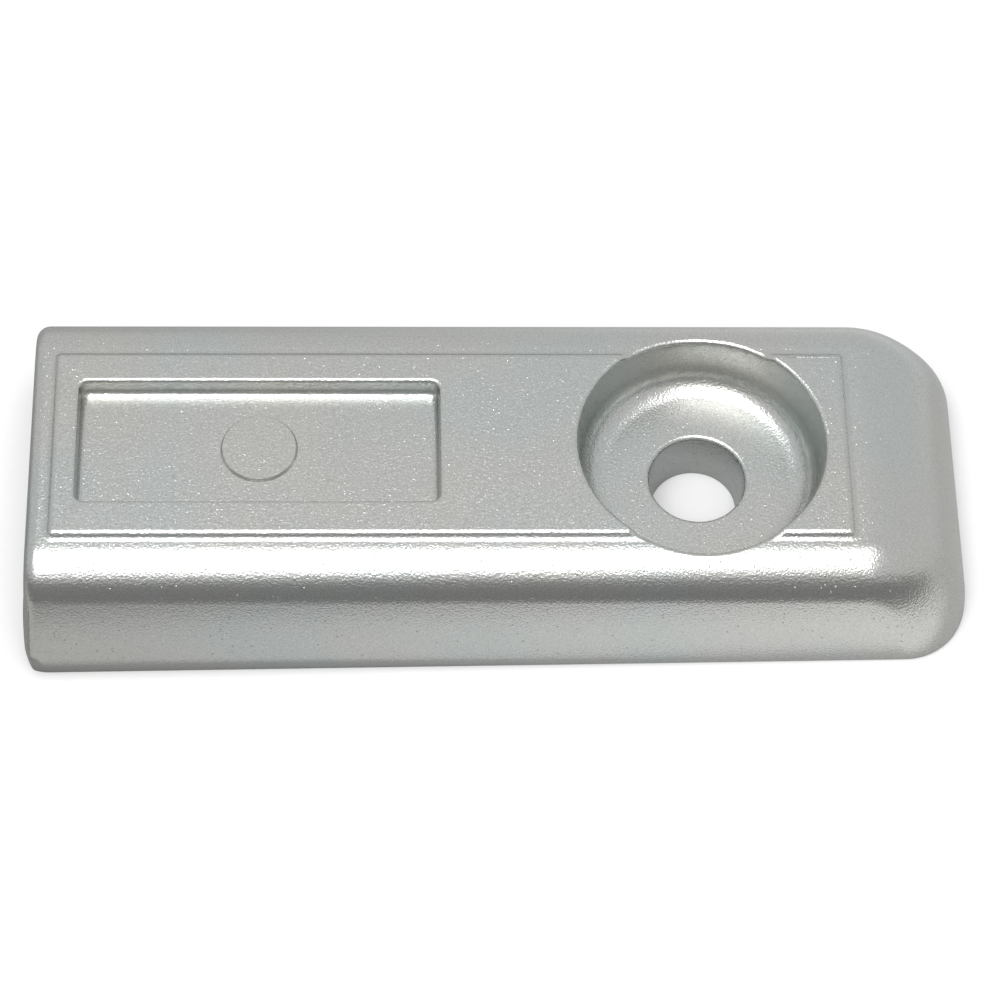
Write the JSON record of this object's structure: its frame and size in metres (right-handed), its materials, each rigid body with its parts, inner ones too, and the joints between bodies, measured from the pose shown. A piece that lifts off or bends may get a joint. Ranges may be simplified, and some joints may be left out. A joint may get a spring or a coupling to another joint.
{
  "type": "sacrificial anode",
  "caption": "Die-cast bar anode with a rounded nose, a raised top panel with a shallow recess, and a round bolt seat over a tapered through hole.",
  "frame": {"origin": "on the mounting face, in the middle of the bolt hole's lower end", "axes": "+X along the bar towards the rounded nose, +Z away from the flat mounting face"},
  "size_m": [0.0949, 0.0362, 0.0155],
  "materials": {
    "cast_metal": "as-cast satin"
  },
  "bodies": {
    "root": {"anode_casting": "cast_metal"}
  },
  "joints": []
}
